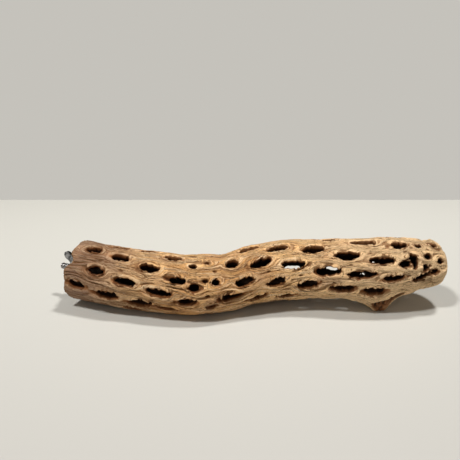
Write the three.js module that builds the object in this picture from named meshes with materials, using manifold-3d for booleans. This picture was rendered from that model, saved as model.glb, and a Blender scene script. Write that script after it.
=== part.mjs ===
// Cactus skeleton perch: the dry, hollow wood of a cholla stem, pierced by windows, lying on its side.
// A plug in the cut end carries a hanger bolt with two washers and a wing nut, which clamp a cage wall.
// Millimetres, +X along the log away from the bolt, +Y to its back, +Z up. The log rests on Z = 0.

import * as THREE from "three";
import { mergeVertices } from "three/addons/utils/BufferGeometryUtils.js";
import Module from "manifold-3d";

const wasm = await Module();
wasm.setup();

// Driving dimensions.
const LOG_TIP_X = 139.8;
const DOME_START_X = 125;
const DOME_RADIUS = 17.6;
const DOME_POWER = 3.4;
const WALL = 5.8;
const WALL_AT_CUT_END = 6.9;
const STATION_STEP = 20;
const FIRST_STATION_X = -140;

const CUT_X = -130.7;
const CUT_YAW = 22;
const BORE_RADIUS = 15.9;
const PLUG_RADIUS = 15.5;
const PLUG_LENGTH = 9;
const PLUG_INSET = 1;
const PLUG_CHAMFER = 0.6;

const BOLT_RADIUS = 2.4;
const BOLT_REACH = 18.2;
const BOLT_IN_PLUG = 7;
const BOLT_HOLE_RADIUS = 2.75;
const WASHER_RADIUS = 11.5;
const WASHER_HOLE_RADIUS = 2.75;
const WASHER_THICKNESS = 1.5;
const GAP = 0.3;
const NUT_HEIGHT = 11.4;
const NUT_HUB_HEIGHT = 6.2;
const NUT_HUB_BASE_RADIUS = 5.2;
const NUT_HUB_TOP_RADIUS = 4.1;
const NUT_SPAN = 24.5;
const NUT_WING_THICKNESS = 2.2;
const NUT_TILT = -8;

const rad = THREE.MathUtils.degToRad;

// The log's centre line and outer radius, one station every 20 mm from the cut end: [y, z, radius].
const stations = [
  [18.8, 23.8, 22.0],
  [11.3, 23.6, 22.2],
  [4.3, 23.0, 22.0],
  [-1.1, 22.5, 21.8],
  [-5.3, 22.2, 21.9],
  [-7.0, 22.1, 21.7],
  [-3.8, 22.4, 20.4],
  [3.3, 24.7, 21.6],
  [7.3, 26.2, 21.8],
  [7.1, 27.2, 21.4],
  [5.7, 28.9, 21.9],
  [3.7, 30.0, 21.7],
  [3.7, 31.1, 21.4],
  [5.2, 32.6, 19.3],
  [8.1, 34.2, 13.0],
];

function atStation(x) {
  const last = stations.length - 1;
  const u = THREE.MathUtils.clamp((x - FIRST_STATION_X) / STATION_STEP, 0, last - 1e-6);
  const i = Math.floor(u);
  const f = u - i;
  const b = stations[i];
  const c = stations[i + 1];
  const a = i > 0 ? stations[i - 1] : b.map((v, k) => 2 * v - c[k]);
  const d = i + 2 <= last ? stations[i + 2] : c.map((v, k) => 2 * v - b[k]);
  return b.map((v, k) => {
    const linear = c[k] - a[k];
    const square = 2 * a[k] - 5 * v + 4 * c[k] - d[k];
    const cube = 3 * v - 3 * c[k] + d[k] - a[k];
    return 0.5 * (2 * v + linear * f + square * f * f + cube * f * f * f);
  });
}

// The section at x: its centre, the direction of the log, and the two directions across it.
function section(x) {
  const here = atStation(x);
  const before = atStation(x - 0.5);
  const after = atStation(x + 0.5);
  const along = new THREE.Vector3(1, after[0] - before[0], after[1] - before[1]).normalize();
  const front = new THREE.Vector3(along.y, -along.x, 0).normalize();
  const up = new THREE.Vector3().crossVectors(along, front).negate();
  return { centre: new THREE.Vector3(x, here[0], here[1]), along, front, up, radius: here[2] };
}

// The branch stub under the front, the knob under the back, both resting on the table, and low swellings:
// [x, angle, height, spread along the log, spread round it in degrees]. Angle 0 is the front, 90 the top.
const swellings = [
  [92, -75, 9.6, 5.6, 15],
  [15, -120, 9.4, 9, 16],
  [84, -72, 3.4, 11, 28],
  [-110, 20, 0.8, 14, 40],
  [30, 140, 1.2, 20, 40],
  [96, 60, 1.0, 18, 40],
  [-76, 200, 1.0, 18, 45],
];

function angleBetween(a, b) {
  return ((a - b + 540) % 360) - 180;
}

function tubeRadius(x) {
  if (x <= DOME_START_X) {
    return atStation(x)[2];
  }
  const reach = Math.min(1, (x - DOME_START_X) / (LOG_TIP_X - DOME_START_X));
  const blend = Math.min(1, (x - DOME_START_X) / 6);
  const body = atStation(DOME_START_X)[2] * (1 - blend) + DOME_RADIUS * blend;
  return body * Math.sqrt(Math.max(0, 1 - reach ** DOME_POWER));
}

function outerRadius(x, angle) {
  let r = tubeRadius(x);
  const fade = Math.min(1, Math.max(0, (LOG_TIP_X - x) / 12));
  for (const [sx, sa, height, spreadX, spreadAngle] of swellings) {
    const dx = (x - sx) / spreadX;
    const da = angleBetween(angle, sa) / spreadAngle;
    r += height * Math.exp(-0.5 * (dx * dx + da * da)) * fade;
  }
  const wave = Math.sin(x * 0.11 + 2 * rad(angle)) + 0.7 * Math.sin(x * 0.19 - 3 * rad(angle) + 1.3);
  return r + 0.28 * wave * fade;
}

function place(x, angle, depth) {
  const s = section(x);
  const r = Math.max(0, outerRadius(x, angle) - depth);
  const c = Math.cos(rad(angle)) * r;
  const v = Math.sin(rad(angle)) * r;
  return s.centre.clone().addScaledVector(s.front, c).addScaledVector(s.up, v);
}

// Windows that can be seen from the front: [x, angle, length, width, slant]. A positive slant rises along +X.
const seenWindows = [
  // the cut end to the joint
  [-115, 75, 12, 5.4, 2],
  [-107, 32, 11, 5.2, 3],
  [-121, -2, 12, 6.2, -6],
  [-94, 67, 12, 5.6, -3],
  [-86, 19, 15, 5.4, -2],
  [-99, -13, 16, 6.0, -5],
  [-71, 52, 14, 5.4, -4],
  [-57, 81, 12, 4.2, -6],
  [-77, -25, 17, 6.0, -5],
  [-63, 6, 16, 5.4, -5],
  [-52, 32, 12, 4.6, -10],
  [-43, 61, 6, 3.4, 0],
  [-42, 19, 6.5, 6.0, 0],
  [-47, -11, 9.5, 5.8, 0],
  [-59, -33, 13, 4.0, -4],
  [-99, 103, 12, 4.4, 8],
  [-78, 99, 12, 4.4, 2],
  // the joint, where they are small
  [-30, 28, 6, 3.6, 5],
  [-33, -24, 5, 3.4, 0],
  [-34, 72, 3.6, 3.2, 0],
  // the joint to the stub
  [-17, 64, 9, 6.0, 8],
  [-2, 90, 14, 4.6, 8],
  [-22, -8, 12, 5.4, 10],
  [-12, 20, 12, 5.4, 12],
  [2, 48, 17, 5.6, 6],
  [18, 76, 16, 4.8, 3],
  [-4, -22, 14, 4.4, 8],
  [12, 6, 17, 5.2, 7],
  [28, 36, 19, 5.4, 0],
  [44, 67, 17, 5.6, 0],
  [21, -32, 16, 4.0, 4],
  [39, -7, 15, 6.2, 8],
  [54, 20, 18, 5.6, 0],
  [67, 49, 18, 5.6, 0],
  [79, 81, 17, 4.6, -2],
  [57, 93, 10, 3.4, -3],
  [64, -18, 15, 6.4, 4],
  [77, 12, 18, 4.8, 0],
  [90, 38, 17, 4.4, -2],
  [103, 69, 12, 5.2, 2],
  [85, -26, 14, 6.6, 2],
  [97, 2, 14, 4.6, 4],
  [109, 31, 12, 7.6, 4],
  [102, -47, 8, 4.6, 12],
  [115, -4, 8, 4.6, 14],
  // the dome
  [121, 41, 5, 3.8, 0],
  [129, 74, 4.4, 3.8, 0],
  [130, 27, 4.4, 3.8, 0],
  [125, 3, 4.4, 3.6, 0],
  [119, 15, 4, 3.4, 0],
  [117, 66, 4.4, 3.2, 0],
  // the back, facing the front ones that light shows through
  [-112, 206, 13, 5.2, 3],
  [-84, 197, 14, 5.4, -2],
  [-57, 216, 9, 4.6, 0],
  [-11, 202, 13, 5.2, 5],
  [7, 168, 12, 4.4, 5],
  [30, 199, 13, 5.0, 2],
  [60, 203, 11, 5.2, 0],
  [83, 219, 6, 3.0, 0],
  [93, 192, 5, 3.0, 0],
  [111, 182, 9, 4.4, 0],
];

// The hidden side carries on the same staggered pattern.
const HIDDEN_ROWS = 6;
const ROW_GIVEN_ABOVE = 2;
const HIDDEN_FIRST_ANGLE = 122;
const HIDDEN_ROW_ANGLE = 36;
const HIDDEN_PITCH = 25;
const HIDDEN_TWIST = -0.12;
const HIDDEN_START_X = -120;
const HIDDEN_END_X = 128;
const JOINT_X = -34;
const JOINT_HALF_LENGTH = 12;
const LEAST_STRUT = 3.2;

// Places on the back that stay shut, because no light shows through the front windows there: [x, angle].
const shutPlaces = [
  [73, 218],
  [-111, 176],
  [-125, 204],
  [-66, 202],
  [-45, 212],
  [-24, 206],
  [7, 187],
  [122, 195],
  [121, 211],
];
const SHUT_LENGTH = 7;
const SHUT_WIDTH = 4;

// A repeatable irregularity between -1 and 1.
function uneven(n) {
  const v = Math.sin(n * 12.9898 + 78.233) * 43758.5453;
  return 2 * (v - Math.floor(v)) - 1;
}

function tooClose(a, b) {
  const r = tubeRadius((a[0] + b[0]) / 2);
  const dx = Math.abs(a[0] - b[0]);
  const dy = Math.abs(rad(angleBetween(a[1], b[1])) * r);
  const reachX = (a[2] + b[2]) / 2 + LEAST_STRUT;
  const reachY = (a[3] + b[3]) / 2 + LEAST_STRUT;
  return (dx / reachX) ** 2 + (dy / reachY) ** 2 < 1;
}

function allWindows() {
  const list = seenWindows.map((w) => [...w]);
  let n = 0;
  for (let row = 0; row < HIDDEN_ROWS; row += 1) {
    const offset = row % 2 === 0 ? 0 : HIDDEN_PITCH / 2;
    for (let x0 = HIDDEN_START_X + offset; x0 < HIDDEN_END_X; x0 += HIDDEN_PITCH) {
      n += 1;
      if (row === ROW_GIVEN_ABOVE) {
        continue;
      }
      const x = x0 + 2.2 * uneven(n);
      const angle = HIDDEN_FIRST_ANGLE + HIDDEN_ROW_ANGLE * row + HIDDEN_TWIST * x + 3.5 * uneven(n + 400);
      let length = 14.5 + 2 * uneven(n + 800);
      let width = 5.4 + 0.6 * uneven(n + 1200);
      if (Math.abs(x - JOINT_X) < JOINT_HALF_LENGTH) {
        length *= 0.5;
        width *= 0.75;
      }
      if (x > 112) {
        length *= 0.6;
        width *= 0.8;
      }
      const slant = 4 * uneven(n + 1600);
      let window = [x, angle, length, width, slant];
      if (list.some((w) => tooClose(w, window))) {
        window = [x, angle, length * 0.55, width * 0.75, slant];
      }
      const underFoot = swellings.slice(0, 2).some((s) => tooClose([s[0], s[1], 13, 13], window));
      const shut = shutPlaces.some((s) => tooClose([s[0], s[1], SHUT_LENGTH, SHUT_WIDTH], window));
      if (!underFoot && !shut && !list.some((w) => tooClose(w, window))) {
        list.push(window);
      }
    }
  }
  return list;
}

const windows = allWindows();

// How far x, angle lies from a window's rim, as a share of the window's own size: 1 on the rim.
function windowShare(w, x, angle) {
  const r = tubeRadius(w[0]);
  const dx = x - w[0];
  const dy = rad(angleBetween(angle, w[1])) * r;
  const c = Math.cos(rad(w[4]));
  const s = Math.sin(rad(w[4]));
  const along = (dx * c + dy * s) / (w[2] / 2);
  const across = (dy * c - dx * s) / (w[3] / 2);
  return Math.hypot(along, across);
}

function clearance(w, x, angle) {
  const share = windowShare(w, x, angle);
  return (share - 1) * Math.min(w[3], 0.6 * w[2]) * 0.5;
}

// The cut end: a plane square to the log, worn back at the top and notched beside the bolt.
const yaw = rad(CUT_YAW);
const outward = new THREE.Vector3(-Math.cos(yaw), Math.sin(yaw), 0.02).normalize();
const cutCentre = section(CUT_X).centre;

function rimWear(angle) {
  const notch = 5 * Math.exp(-0.5 * (angleBetween(angle, 43) / 8) ** 2);
  const top = 1.6 * Math.exp(-0.5 * (angleBetween(angle, 62) / 26) ** 2);
  const ripple = 0.5 * Math.sin(rad(5 * angle) + 0.8) + 0.4 * Math.sin(rad(9 * angle) + 2);
  return notch + top + ripple + 0.2;
}

function rimX(angle, depth) {
  let low = CUT_X - 22;
  let high = CUT_X + 22;
  for (let i = 0; i < 24; i += 1) {
    const mid = (low + high) / 2;
    const beyond = place(mid, angle, depth).sub(cutCentre).dot(outward) + rimWear(angle);
    if (beyond > 0) {
      low = mid;
    } else {
      high = mid;
    }
  }
  return (low + high) / 2;
}

// A flat map of the surface that keeps small shapes: the dome's pole is its centre, the cut end its edge.
const MAP_STEP = 0.5;
const MAP_START_X = -160;
const mapTable = [0];
for (let x = MAP_START_X; x < LOG_TIP_X; x += MAP_STEP) {
  const r = Math.max(1.2, tubeRadius(x));
  const slope = (tubeRadius(x + MAP_STEP) - tubeRadius(x)) / MAP_STEP;
  mapTable.push(mapTable[mapTable.length - 1] + (MAP_STEP * Math.hypot(1, slope)) / r);
}

function toMap(x, angle) {
  const u = (x - MAP_START_X) / MAP_STEP;
  const i = Math.min(mapTable.length - 2, Math.floor(u));
  const depth = mapTable[i] + (mapTable[i + 1] - mapTable[i]) * (u - i);
  const q = Math.exp(-depth);
  return [q * Math.cos(rad(angle)), q * Math.sin(rad(angle))];
}

// Points of the surface: window rims, the rim of the cut end, the wood between, and the dome's pole.
const RIM_POINTS = 42;
const WOOD_SPACING = 5.6;
const points = [];

function addPoint(x, angle, drop, side) {
  points.push({ x, angle, drop, side, map: toMap(x, angle) });
}

for (const w of windows) {
  const count = w[2] > 9 ? 10 : 6;
  const r = tubeRadius(w[0]);
  const c = Math.cos(rad(w[4]));
  const s = Math.sin(rad(w[4]));
  for (let i = 0; i < count; i += 1) {
    const t = (i / count) * 2 * Math.PI;
    const along = Math.cos(t) * (w[2] / 2);
    const across = Math.sin(t) * (w[3] / 2);
    const dx = along * c - across * s;
    const dy = along * s + across * c;
    addPoint(w[0] + dx, w[1] + THREE.MathUtils.radToDeg(dy / r), 0.55, w);
  }
}
for (let i = 0; i < RIM_POINTS; i += 1) {
  const angle = (i / RIM_POINTS) * 360;
  addPoint(rimX(angle, 0), angle, 0.3, "cut end");
}
function steepness(x) {
  return Math.hypot(1, (tubeRadius(x + 0.2) - tubeRadius(x)) / 0.2);
}

let grain = 0;
for (let x = CUT_X - 14; x < LOG_TIP_X - 0.2; x += WOOD_SPACING / steepness(x)) {
  const r = tubeRadius(x);
  const around = Math.max(6, Math.round((2 * Math.PI * r) / WOOD_SPACING));
  grain += 1;
  for (let i = 0; i < around; i += 1) {
    const n = grain * 97 + i;
    const px = Math.min(LOG_TIP_X - 0.1, x + (1.1 * uneven(n)) / steepness(x));
    const angle = ((i + 0.5 * (grain % 2) + 0.18 * uneven(n + 31)) / around) * 360;
    const clear = Math.min(...windows.map((w) => clearance(w, px, angle)));
    if (clear > 1.5 && px > rimX(angle, 0) + 2.6) {
      const ridge = Math.min(0.5, 0.16 * clear);
      addPoint(px, angle, -ridge + 0.15 * uneven(n + 57), null);
    }
  }
}
addPoint(LOG_TIP_X, 0, 0, null);
points[points.length - 1].map = [0, 0];

// Delaunay triangles of the flat map, added point by point.
function circle(a, b, c) {
  const bx = b[0] - a[0];
  const by = b[1] - a[1];
  const cx = c[0] - a[0];
  const cy = c[1] - a[1];
  const d = 2 * (bx * cy - by * cx);
  const b2 = bx * bx + by * by;
  const c2 = cx * cx + cy * cy;
  const ux = (cy * b2 - by * c2) / d;
  const uy = (bx * c2 - cx * b2) / d;
  return { x: a[0] + ux, y: a[1] + uy, r2: ux * ux + uy * uy };
}

function triangulate(flat) {
  const far = 40;
  const all = [...flat, [-far, -far], [far, -far], [0, far]];
  const n = flat.length;
  let triangles = [{ v: [n, n + 1, n + 2], c: circle(all[n], all[n + 1], all[n + 2]) }];
  for (let p = 0; p < n; p += 1) {
    const [px, py] = all[p];
    const kept = [];
    const edges = new Map();
    for (const t of triangles) {
      const dx = px - t.c.x;
      const dy = py - t.c.y;
      if (dx * dx + dy * dy >= t.c.r2) {
        kept.push(t);
        continue;
      }
      for (let k = 0; k < 3; k += 1) {
        const a = t.v[k];
        const b = t.v[(k + 1) % 3];
        const twin = b * (n + 3) + a;
        if (edges.has(twin)) {
          edges.delete(twin);
        } else {
          edges.set(a * (n + 3) + b, [a, b]);
        }
      }
    }
    for (const [a, b] of edges.values()) {
      kept.push({ v: [a, b, p], c: circle(all[a], all[b], all[p]) });
    }
    triangles = kept;
  }
  return triangles.map((t) => t.v).filter((v) => Math.max(...v) < n);
}

function inWood(v) {
  const sides = v.map((i) => points[i].side);
  if (sides[0] === null || sides[0] !== sides[1] || sides[1] !== sides[2]) {
    return true;
  }
  if (sides[0] !== "cut end") {
    return false;
  }
  const mid = v.reduce((sum, i) => sum + points[i].angle, 0) / 3;
  return v.reduce((sum, i) => sum + points[i].x, 0) / 3 > rimX(mid, 0) + 0.05;
}

function wallAt(x) {
  const nearCut = Math.min(1, Math.max(0, (-112 - x) / 8));
  const plain = WALL + (WALL_AT_CUT_END - WALL) * nearCut;
  return Math.min(plain, 0.42 * tubeRadius(x) + 0.6);
}

function surfacePoint(p, level) {
  const wall = wallAt(p.x);
  if (p.map[0] === 0 && p.map[1] === 0) {
    const tip = section(LOG_TIP_X).centre;
    return level === "inner" ? tip.setX(LOG_TIP_X - 4.6) : tip;
  }
  if (p.side === "cut end") {
    const depth = { outer: 0.9, middle: wall * 0.5, inner: wall }[level];
    const flare = level === "middle" ? 0.5 : 0;
    const x = rimX(p.angle, depth) - flare;
    return place(x, p.angle, depth);
  }
  if (level === "outer") {
    return place(p.x, p.angle, p.drop);
  }
  if (level === "middle") {
    const w = p.side;
    const inward = 0.9;
    return place(w[0] + (p.x - w[0]) * inward, w[1] + angleBetween(p.angle, w[1]) * inward, wall * 0.5);
  }
  const innerX = p.x > DOME_START_X - 6 ? p.x - Math.min(4.2, 0.3 * (p.x - DOME_START_X + 6)) : p.x;
  const r = Math.max(2.4, innerRadius(innerX, p.angle));
  const s = section(innerX);
  const c = Math.cos(rad(p.angle)) * r;
  const v = Math.sin(rad(p.angle)) * r;
  return s.centre.clone().addScaledVector(s.front, c).addScaledVector(s.up, v);
}

// The core stays round: the stub and the knob are solid wood on its outside.
function innerRadius(x, angle) {
  const base = tubeRadius(x) - wallAt(x);
  return base + 0.3 * Math.sin(x * 0.13 + rad(angle) * 2);
}

function solidFromTriangles(vertices, triangles) {
  const mesh = new wasm.Mesh({
    numProp: 3,
    vertProperties: new Float32Array(vertices),
    triVerts: new Uint32Array(triangles),
  });
  return new wasm.Manifold(mesh);
}

function skeletonShell() {
  const sheet = triangulate(points.map((p) => p.map)).filter(inWood);
  const n = points.length;
  const vertices = [];
  for (const level of ["outer", "inner", "middle"]) {
    for (const p of points) {
      const v = level === "middle" && p.side === null ? new THREE.Vector3() : surfacePoint(p, level);
      vertices.push(v.x, v.y, v.z);
    }
  }
  const triangles = [];
  const directed = new Map();
  for (const [a, b, c] of sheet) {
    triangles.push(a, c, b);
    triangles.push(n + a, n + b, n + c);
    for (const [p, q] of [[a, b], [b, c], [c, a]]) {
      directed.set(p * n + q, [p, q]);
    }
  }
  for (const [p, q] of directed.values()) {
    if (!directed.has(q * n + p)) {
      const [op, oq, mp, mq, ip, iq] = [p, q, 2 * n + p, 2 * n + q, n + p, n + q];
      triangles.push(op, oq, mp, oq, mq, mp, mp, mq, ip, mq, iq, ip);
    }
  }
  const used = new Map();
  const packed = [];
  const renumbered = triangles.map((i) => {
    if (!used.has(i)) {
      used.set(i, used.size);
      packed.push(vertices[3 * i], vertices[3 * i + 1], vertices[3 * i + 2]);
    }
    return used.get(i);
  });
  return { vertices: packed, triangles: renumbered };
}

// Solids of revolution and extrusions as closed meshes.
function solidFromGeometry(geometry) {
  const plain = geometry.clone();
  plain.deleteAttribute("normal");
  plain.deleteAttribute("uv");
  const merged = mergeVertices(plain, 1e-4);
  return solidFromTriangles(merged.attributes.position.array, merged.index.array);
}

function turned(profile, segments) {
  const lathe = new THREE.LatheGeometry(profile.map(([r, y]) => new THREE.Vector2(r, y)), segments);
  return solidFromGeometry(lathe);
}

// Turned pieces are drawn with their axis on Y; this stands them along the outward direction.
const plugFace = cutCentre.clone().addScaledVector(outward, -PLUG_INSET);

function alongBolt(solid, distance, turn) {
  const spin = new THREE.Quaternion().setFromAxisAngle(new THREE.Vector3(0, 1, 0), rad(turn));
  const wingDirection = new THREE.Vector3(0, 0, 1);
  const side = new THREE.Vector3().crossVectors(wingDirection, outward).normalize();
  const upright = new THREE.Vector3().crossVectors(outward, side);
  const basis = new THREE.Matrix4().makeBasis(upright, outward, side.clone().negate());
  const matrix = basis.multiply(new THREE.Matrix4().makeRotationFromQuaternion(spin));
  matrix.setPosition(plugFace.clone().addScaledVector(outward, distance));
  return solid.transform(matrix.toArray());
}

const FINE = 48;
const MEDIUM = 36;

function plugSolid() {
  const body = turned(
    [
      [0, -PLUG_LENGTH],
      [PLUG_RADIUS - PLUG_CHAMFER, -PLUG_LENGTH],
      [PLUG_RADIUS, -PLUG_LENGTH + PLUG_CHAMFER],
      [PLUG_RADIUS, -PLUG_CHAMFER],
      [PLUG_RADIUS - PLUG_CHAMFER, 0],
      [0, 0],
    ],
    FINE,
  );
  const holeDepth = BOLT_IN_PLUG + GAP;
  const hole = turned([[0, -holeDepth], [BOLT_HOLE_RADIUS, -holeDepth], [BOLT_HOLE_RADIUS, 2], [0, 2]], MEDIUM);
  return alongBolt(body.subtract(hole), 0, 0);
}

function boltSolid() {
  const tip = 0.7;
  const root = 1.2;
  const profile = [
    [0, -BOLT_IN_PLUG],
    [BOLT_RADIUS - root, -BOLT_IN_PLUG],
    [BOLT_RADIUS, -BOLT_IN_PLUG + 2 * root],
    [BOLT_RADIUS, BOLT_REACH - tip],
    [BOLT_RADIUS - tip, BOLT_REACH],
    [0, BOLT_REACH],
  ];
  return alongBolt(turned(profile, MEDIUM), 0, 0);
}

function washerSolid(distance) {
  const edge = 0.25;
  const top = WASHER_THICKNESS;
  const profile = [
    [WASHER_HOLE_RADIUS, 0],
    [WASHER_RADIUS - edge, 0],
    [WASHER_RADIUS, edge],
    [WASHER_RADIUS, top - edge],
    [WASHER_RADIUS - edge, top],
    [WASHER_HOLE_RADIUS, top],
    [WASHER_HOLE_RADIUS, 0],
  ];
  return alongBolt(turned(profile, FINE), distance, 0);
}

function wingShape() {
  const half = NUT_SPAN / 2;
  const shape = new THREE.Shape();
  shape.moveTo(0.5, 1.2);
  shape.lineTo(4.6, 1.2);
  shape.quadraticCurveTo(7.2, 2.2, 9.2, 4.2);
  shape.quadraticCurveTo(half - 0.2, 6.2, half, 8.6);
  shape.quadraticCurveTo(half + 0.1, NUT_HEIGHT, half - 2.6, NUT_HEIGHT);
  shape.quadraticCurveTo(7.4, NUT_HEIGHT, 6.2, 8.6);
  shape.quadraticCurveTo(5.2, 6.4, 3.4, NUT_HUB_HEIGHT - 0.4);
  shape.lineTo(0.5, NUT_HUB_HEIGHT - 0.4);
  return shape;
}

function wingNutSolid(distance) {
  const hub = turned(
    [
      [0, 0],
      [NUT_HUB_BASE_RADIUS - 0.4, 0],
      [NUT_HUB_BASE_RADIUS, 0.4],
      [NUT_HUB_BASE_RADIUS - 0.2, 1.6],
      [NUT_HUB_TOP_RADIUS, NUT_HUB_HEIGHT - 0.6],
      [NUT_HUB_TOP_RADIUS - 0.5, NUT_HUB_HEIGHT],
      [0, NUT_HUB_HEIGHT],
    ],
    FINE,
  );
  const settings = { depth: NUT_WING_THICKNESS, bevelEnabled: false, curveSegments: 7 };
  const plate = new THREE.ExtrudeGeometry(wingShape(), settings);
  plate.translate(0, 0, -NUT_WING_THICKNESS / 2);
  const wing = solidFromGeometry(plate);
  const nut = hub.add(wing).add(wing.rotate([0, 180, 0]));
  const bore = BOLT_RADIUS + GAP;
  const hole = turned([[0, -1], [bore, -1], [bore, NUT_HEIGHT], [0, NUT_HEIGHT]], MEDIUM);
  return alongBolt(nut.subtract(hole), distance, NUT_TILT);
}

function skeletonSolid() {
  const shell = skeletonShell();
  let solid = solidFromTriangles(shell.vertices, shell.triangles);
  const start = -PLUG_LENGTH - GAP;
  const bore = turned([[0, start], [BORE_RADIUS, start], [BORE_RADIUS, 30], [0, 30]], FINE);
  solid = solid.subtract(alongBolt(bore, 0, 0));
  const ground = new THREE.BoxGeometry(400, 200, 40);
  ground.translate(0, 0, -20);
  return solid.subtract(solidFromGeometry(ground));
}

function meshFrom(solid, name, material) {
  const mesh = solid.getMesh();
  const geometry = new THREE.BufferGeometry();
  const positions = [];
  for (let i = 0; i < mesh.vertProperties.length; i += mesh.numProp) {
    positions.push(mesh.vertProperties[i], mesh.vertProperties[i + 1], mesh.vertProperties[i + 2]);
  }
  geometry.setAttribute("position", new THREE.Float32BufferAttribute(positions, 3));
  geometry.setIndex(Array.from(mesh.triVerts));
  geometry.computeVertexNormals();
  const result = new THREE.Mesh(geometry, material);
  result.name = name;
  return result;
}

const woodMaterial = new THREE.MeshStandardMaterial({ color: 0xb98a5c, roughness: 0.85, metalness: 0 });
const plugMaterial = new THREE.MeshStandardMaterial({ color: 0xc9a070, roughness: 0.8, metalness: 0 });
const boltMaterial = new THREE.MeshStandardMaterial({ color: 0xb9bcc0, roughness: 0.3, metalness: 1 });
const innerWasherMaterial = new THREE.MeshStandardMaterial({ color: 0xb4b8bc, roughness: 0.32, metalness: 1 });
const outerWasherMaterial = new THREE.MeshStandardMaterial({ color: 0xb6babe, roughness: 0.32, metalness: 1 });
const nutMaterial = new THREE.MeshStandardMaterial({ color: 0xbfc3c7, roughness: 0.25, metalness: 1 });

const innerWasherAt = GAP;
const outerWasherAt = innerWasherAt + WASHER_THICKNESS + GAP;
const nutAt = outerWasherAt + WASHER_THICKNESS + GAP;

const perch = new THREE.Group();
perch.name = "cactus_skeleton_perch";
perch.add(meshFrom(skeletonSolid(), "cactus_skeleton", woodMaterial));
perch.add(meshFrom(plugSolid(), "end_plug", plugMaterial));
perch.add(meshFrom(boltSolid(), "hanger_bolt", boltMaterial));
perch.add(meshFrom(washerSolid(innerWasherAt), "inner_washer", innerWasherMaterial));
perch.add(meshFrom(washerSolid(outerWasherAt), "outer_washer", outerWasherMaterial));
perch.add(meshFrom(wingNutSolid(nutAt), "wing_nut", nutMaterial));

// The origin goes under the centre of the whole object's box.
const box = new THREE.Box3().setFromObject(perch);
const middle = box.getCenter(new THREE.Vector3());
for (const mesh of perch.children) {
  mesh.geometry.translate(-middle.x, -middle.y, 0);
}

export default perch;
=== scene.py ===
import math
import bmesh
import bpy
import numpy as np
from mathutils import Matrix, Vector


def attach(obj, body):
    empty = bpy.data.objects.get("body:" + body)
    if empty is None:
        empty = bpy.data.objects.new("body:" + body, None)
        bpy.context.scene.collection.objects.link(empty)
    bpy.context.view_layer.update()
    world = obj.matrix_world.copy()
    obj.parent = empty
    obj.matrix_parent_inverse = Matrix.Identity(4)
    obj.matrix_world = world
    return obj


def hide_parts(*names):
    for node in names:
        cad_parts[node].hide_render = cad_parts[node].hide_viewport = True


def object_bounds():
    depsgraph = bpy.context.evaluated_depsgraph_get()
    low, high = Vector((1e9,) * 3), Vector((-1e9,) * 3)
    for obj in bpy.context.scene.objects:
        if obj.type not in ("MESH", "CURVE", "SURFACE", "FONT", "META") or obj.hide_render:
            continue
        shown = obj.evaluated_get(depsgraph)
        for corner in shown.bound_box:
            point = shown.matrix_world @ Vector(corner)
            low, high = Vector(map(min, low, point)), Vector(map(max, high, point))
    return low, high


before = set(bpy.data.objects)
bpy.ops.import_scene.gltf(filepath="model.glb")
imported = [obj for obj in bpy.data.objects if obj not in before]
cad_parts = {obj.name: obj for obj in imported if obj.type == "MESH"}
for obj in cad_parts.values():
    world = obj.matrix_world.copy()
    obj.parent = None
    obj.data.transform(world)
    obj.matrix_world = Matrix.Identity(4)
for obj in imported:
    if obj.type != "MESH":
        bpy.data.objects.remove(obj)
bounds_at_load = [list(map(float, corner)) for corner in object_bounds()]

# The wood's form, in millimetres, as in the CAD source.
MM = 0.001
LOG_TIP_X = 139.8
DOME_START_X = 125.0
DOME_RADIUS = 17.6
DOME_POWER = 3.4
WALL = 5.8
WALL_AT_CUT_END = 6.9
STATION_STEP = 20.0
FIRST_STATION_X = -140.0
CUT_X = -130.7
CUT_YAW = 22.0
BORE_RADIUS = 15.9
PLUG_LENGTH = 9.0
PLUG_INSET = 1.0
GAP = 0.3
BOLT_RADIUS = 2.4
BOLT_REACH = 18.2
BOLT_IN_PLUG = 7.0
ORIGIN_SHIFT = np.array([3.5213, -2.7084, 0.0])

# The scene's own.
SKIN_LIFT = 0.38  # the skin before its relief is cut in, outside the CAD's
THREAD_PITCH = 0.8
THREAD_DEPTH = 0.42
MARGIN = 0.02  # kept clear inside the CAD's box and the bolt's ends
MOST_TRIANGLES = 190000

# The centre line: (y, z, radius) at each station.
stations = np.array([
    [18.8, 23.8, 22.0], [11.3, 23.6, 22.2], [4.3, 23.0, 22.0], [-1.1, 22.5, 21.8], [-5.3, 22.2, 21.9],
    [-7.0, 22.1, 21.7], [-3.8, 22.4, 20.4], [3.3, 24.7, 21.6], [7.3, 26.2, 21.8], [7.1, 27.2, 21.4],
    [5.7, 28.9, 21.9], [3.7, 30.0, 21.7], [3.7, 31.1, 21.4], [5.2, 32.6, 19.3], [8.1, 34.2, 13.0],
])
# Stub, foot and slighter swellings: (x, angle, height, spread along, spread round). Angle 0 is the front, 90 the top.
swellings = [
    (92, -75, 9.6, 5.6, 15), (15, -120, 9.4, 9, 16), (84, -72, 3.4, 11, 28), (-110, 20, 0.8, 14, 40),
    (30, 140, 1.2, 20, 40), (96, 60, 1.0, 18, 40), (-76, 200, 1.0, 18, 45),
]
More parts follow.
